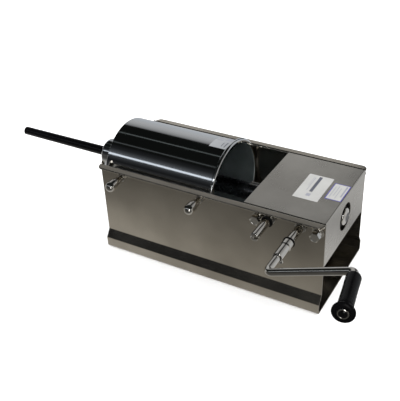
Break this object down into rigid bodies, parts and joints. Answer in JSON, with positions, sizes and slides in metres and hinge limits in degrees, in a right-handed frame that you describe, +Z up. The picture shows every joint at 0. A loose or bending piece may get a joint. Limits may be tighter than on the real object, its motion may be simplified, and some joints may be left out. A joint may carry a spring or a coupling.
{
  "type": "sausage stuffer",
  "caption": "Horizontal hand-cranked sausage stuffer: a steel filling cylinder in a folded trough, pushed by a geared rack piston into a long nozzle.",
  "frame": {"origin": "centre of the underside of the folded body", "axes": "+X along the body towards the gear cover, -Y the side of the crank, +Z up"},
  "size_m": [0.6945, 0.3629, 0.1992],
  "materials": {
    "brushed_sheet": "brushed sheet",
    "polished_steel": "polished",
    "machined_steel": "machined",
    "dark_steel": "oiled",
    "bronze": "sintered",
    "cast_plate": "satin",
    "black_plastic": "satin",
    "black_rubber": "matt",
    "white_plastic": "matt",
    "silicone": "matt"
  },
  "bodies": {
    "body": {"body_shell": "brushed_sheet", "front_plate": "brushed_sheet", "cradle_front": "brushed_sheet", "cradle_rear": "brushed_sheet", "gear_cover": "brushed_sheet", "cylinder": "polished_steel", "cylinder_end": "polished_steel", "cylinder_neck": "polished_steel", "nozzle_gasket": "silicone", "nozzle": "black_plastic", "gear_plate_near": "cast_plate", "gear_plate_far": "cast_plate", "bearing_bracket": "cast_plate", "standoff_a": "machined_steel", "standoff_b": "machined_steel", "fast_bush_near": "machined_steel", "slow_bush_near": "machined_steel", "drive_bush_near": "bronze", "drive_bush_far": "bronze", "slow_bush_far": "bronze", "fast_bush_inner": "bronze", "rack_guide_front": "machined_steel", "rack_guide_rear": "machined_steel", "bolt_near_1": "machined_steel", "washers_near_1": "machined_steel", "bolt_near_2": "machined_steel", "washers_near_2": "machined_steel", "bolt_far_1": "machined_steel", "washers_far_1": "machined_steel", "bolt_far_2": "machined_steel", "washers_far_2": "machined_steel", "plunger_barrel_1": "machined_steel", "locating_pin_1": "machined_steel", "pin_nut_1": "machined_steel", "plunger_barrel_2": "machined_steel", "locating_pin_2": "machined_steel", "pin_nut_2": "machined_steel"},
    "rack_body": {"rack": "dark_steel", "piston": "white_plastic", "piston_seal": "silicone", "piston_nut": "machined_steel"},
    "drive_body": {"drive_shaft": "machined_steel", "rack_pinion": "machined_steel", "fast_wheel": "machined_steel", "slow_wheel": "machined_steel"},
    "fast_body": {"fast_shaft": "polished_steel", "fast_pinion": "machined_steel", "fast_ring": "black_rubber"},
    "slow_body": {"slow_shaft": "polished_steel", "slow_pinion": "machined_steel", "slow_ring": "black_rubber"},
    "crank_body": {"crank_hub": "polished_steel", "crank_rod": "polished_steel"},
    "screw_body": {"crank_screw": "polished_steel"},
    "grip_body": {"grip": "black_plastic", "grip_cap": "black_plastic"},
    "nut_body": {"nozzle_nut": "polished_steel"},
    "plunger_1_body": {"plunger_1": "polished_steel"},
    "plunger_2_body": {"plunger_2": "polished_steel"}
  },
  "joints": [
    {"name": "rack_slide", "type": "slide", "parent": "body", "child": "rack_body", "axis": [1, 0, 0], "range_m": [0, 0.188]},
    {"name": "drive_turn", "type": "hinge", "parent": "body", "child": "drive_body", "pos_m": [0.11965, 0, 0.09467], "axis": [0, -1, 0], "range_deg": [-1026, 0]},
    {"name": "fast_turn", "type": "hinge", "parent": "body", "child": "fast_body", "pos_m": [0.1023, 0, 0.137], "axis": [0, -1, 0], "range_deg": [0, 3147]},
    {"name": "slow_turn", "type": "hinge", "parent": "body", "child": "slow_body", "pos_m": [0.1481, 0, 0.137], "axis": [0, -1, 0], "range_deg": [0, 4788]},
    {"name": "crank_pull_off", "type": "slide", "parent": "slow_body", "child": "crank_body", "axis": [0, -1, 0], "range_m": [0, 0.02]},
    {"name": "screw_turn", "type": "hinge", "parent": "crank_body", "child": "screw_body", "pos_m": [0.1481, -0.1495, 0.137], "axis": [0.3584, 0, -0.9336], "range_deg": [0, 720]},
    {"name": "grip_spin", "type": "hinge", "parent": "crank_body", "child": "grip_body", "pos_m": [0.2632, -0.19878, 0.18118], "axis": [0.1781, -0.9816, 0.0684], "continuous": true},
    {"name": "nut_turn", "type": "hinge", "parent": "body", "child": "nut_body", "pos_m": [-0.215, 0, 0.1195], "axis": [-1, 0, 0], "range_deg": [0, 1080]},
    {"name": "plunger_1_pull", "type": "slide", "parent": "body", "child": "plunger_1_body", "axis": [0, -1, 0], "range_m": [0, 0.0075], "stiffness_N_per_m": 300, "springref_m": -0.01},
    {"name": "plunger_2_pull", "type": "slide", "parent": "body", "child": "plunger_2_body", "axis": [0, -1, 0], "range_m": [0, 0.0075], "stiffness_N_per_m": 300, "springref_m": -0.01}
  ],
  "couplings": [
    {"joint": "drive_turn", "follows": "rack_slide", "rad_per_m": -95.238},
    {"joint": "fast_turn", "follows": "rack_slide", "rad_per_m": 292.06},
    {"joint": "slow_turn", "follows": "rack_slide", "rad_per_m": 444.44}
  ]
}
